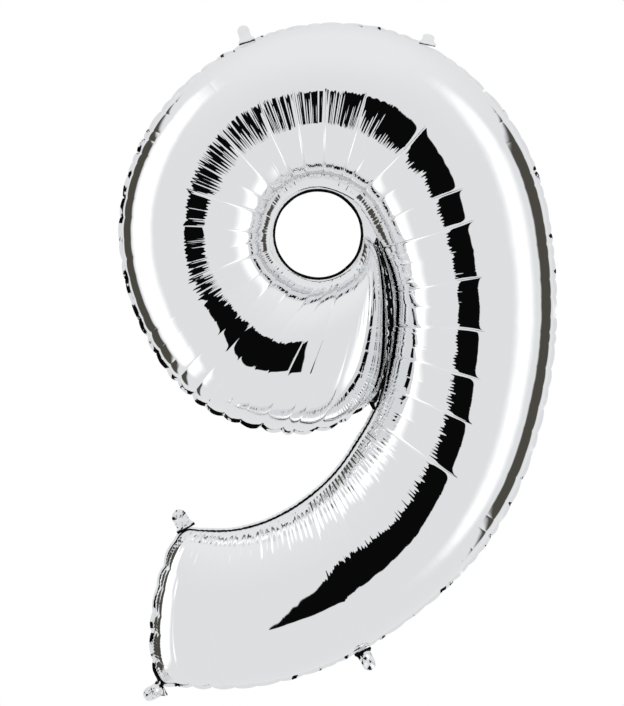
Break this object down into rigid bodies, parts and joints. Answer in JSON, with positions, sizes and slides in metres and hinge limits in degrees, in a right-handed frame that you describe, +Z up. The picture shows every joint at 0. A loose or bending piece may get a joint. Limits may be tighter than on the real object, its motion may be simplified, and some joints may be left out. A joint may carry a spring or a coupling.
{
  "type": "foil number balloon",
  "caption": "Inflated silver foil balloon in the shape of the numeral 9, with a heat-sealed border, four hang tabs and a flat inflation neck with a self-sealing valve.",
  "frame": {"origin": "below the middle of the whole shape's width and depth, at the height of its lowest point, the tip of the tail's lower tab; the sealed edge lies in the plane Y = 0", "axes": "+Z up the numeral, +X to the reader's right; the front panel faces -Y, so the reader looks along +Y"},
  "size_m": [0.6587, 0.2322, 1.0182],
  "materials": {
    "foil": "mirror-bright metallised film",
    "seal": "crinkled fused metallised film",
    "tab": "crinkled fused metallised film",
    "valve_film": "clear limp film",
    "ink": "matte print"
  },
  "bodies": {
    "balloon": {"front_foil": "foil", "back_foil": "foil", "outer_seam": "seal", "hole_seam": "seal", "bowl_weld": "seal"},
    "hang_tab_top_left_body": {"hang_tab_top_left": "tab"},
    "hang_tab_top_right_body": {"hang_tab_top_right": "tab"},
    "hang_tab_tail_upper_body": {"hang_tab_tail_upper": "tab"},
    "hang_tab_tail_lower_body": {"hang_tab_tail_lower": "tab"},
    "neck_body": {"neck_front_ply": "tab", "neck_back_ply": "tab"},
    "valve_front_body": {"valve_film_front": "valve_film", "valve_ink_patch": "ink"},
    "valve_back_body": {"valve_film_back": "valve_film"}
  },
  "joints": [
    {"name": "hang_tab_top_left_bend", "type": "hinge", "parent": "balloon", "child": "hang_tab_top_left_body", "pos_m": [-0.13776, 0, 0.9927], "axis": [-0.9511, 0, -0.309], "range_deg": [-85, 85], "stiffness_Nm_per_rad": 0.0003},
    {"name": "hang_tab_top_right_bend", "type": "hinge", "parent": "balloon", "child": "hang_tab_top_right_body", "pos_m": [0.13522, 0, 0.98955], "axis": [-0.9781, 0, 0.2079], "range_deg": [-85, 85], "stiffness_Nm_per_rad": 0.0003},
    {"name": "hang_tab_tail_upper_bend", "type": "hinge", "parent": "balloon", "child": "hang_tab_tail_upper_body", "pos_m": [-0.22991, 0, 0.26252], "axis": [-0.8572, 0, -0.515], "range_deg": [-85, 85], "stiffness_Nm_per_rad": 0.0003},
    {"name": "hang_tab_tail_lower_bend", "type": "hinge", "parent": "balloon", "child": "hang_tab_tail_lower_body", "pos_m": [-0.26682, 0, 0.01877], "axis": [0.4695, 0, -0.8829], "range_deg": [-85, 85], "stiffness_Nm_per_rad": 0.0003},
    {"name": "neck_bend", "type": "hinge", "parent": "balloon", "child": "neck_body", "pos_m": [0.03853, 0, 0.07189], "axis": [0.8988, 0, 0.4384], "range_deg": [-85, 85], "stiffness_Nm_per_rad": 0.0003},
    {"name": "valve_front_open", "type": "hinge", "parent": "balloon", "child": "valve_front_body", "pos_m": [0.03801, -0.0004, 0.07297], "axis": [0.8988, 0, 0.4384], "range_deg": [0, 3.5], "stiffness_Nm_per_rad": 0.0003},
    {"name": "valve_back_open", "type": "hinge", "parent": "balloon", "child": "valve_back_body", "pos_m": [0.03801, 0.0004, 0.07297], "axis": [0.8988, 0, 0.4384], "range_deg": [-3.5, 0], "stiffness_Nm_per_rad": 0.0003}
  ],
  "couplings": [
    {"joint": "valve_back_open", "follows": "valve_front_open", "ratio": -1}
  ]
}
